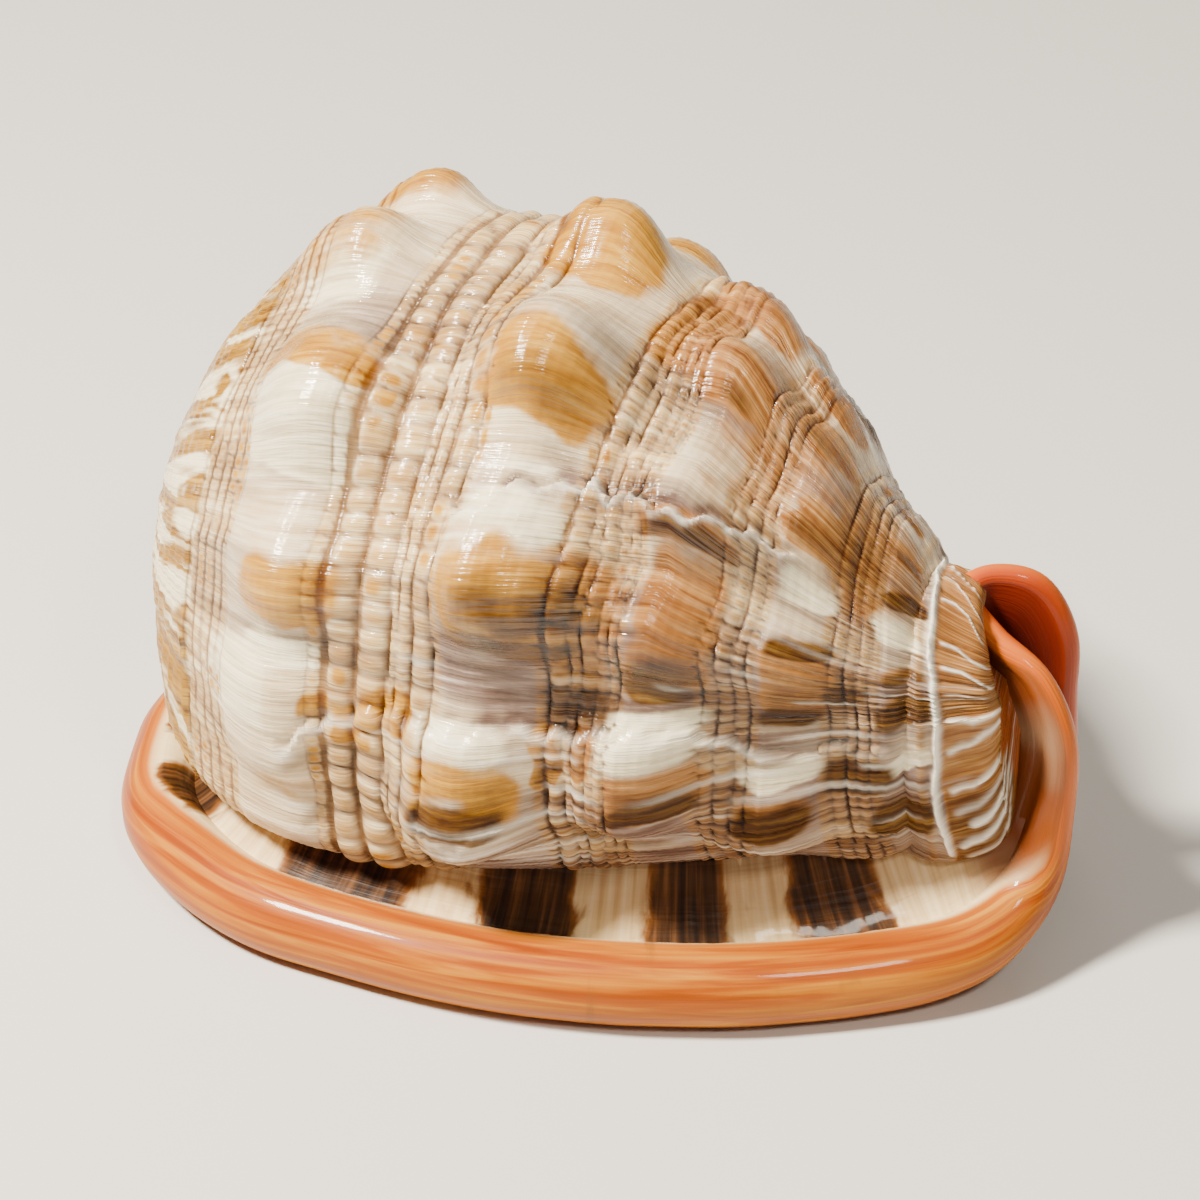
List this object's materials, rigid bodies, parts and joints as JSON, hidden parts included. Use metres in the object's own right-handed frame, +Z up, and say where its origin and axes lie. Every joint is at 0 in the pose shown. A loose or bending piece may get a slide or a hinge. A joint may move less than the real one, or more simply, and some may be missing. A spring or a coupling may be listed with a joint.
{
  "type": "helmet shell",
  "caption": "Large domed sea shell of a bullmouth helmet with knobbed rows, a rolled rim round its flat open side, a toothed slit and an upturned canal.",
  "frame": {"origin": "centre of the footprint of the shell, on the surface that it rests on", "axes": "+X along the shell's length towards the upturned canal, -X towards the spire, -Y towards the outer lip, +Z up from the open side to the knobbed back"},
  "size_m": [0.153, 0.1119, 0.1035],
  "materials": {
    "shell": "glazed natural shell, matt grey-cream body with orange-brown knobs and a glossy orange rim"
  },
  "bodies": {
    "root": {"shell": "shell"}
  },
  "joints": []
}
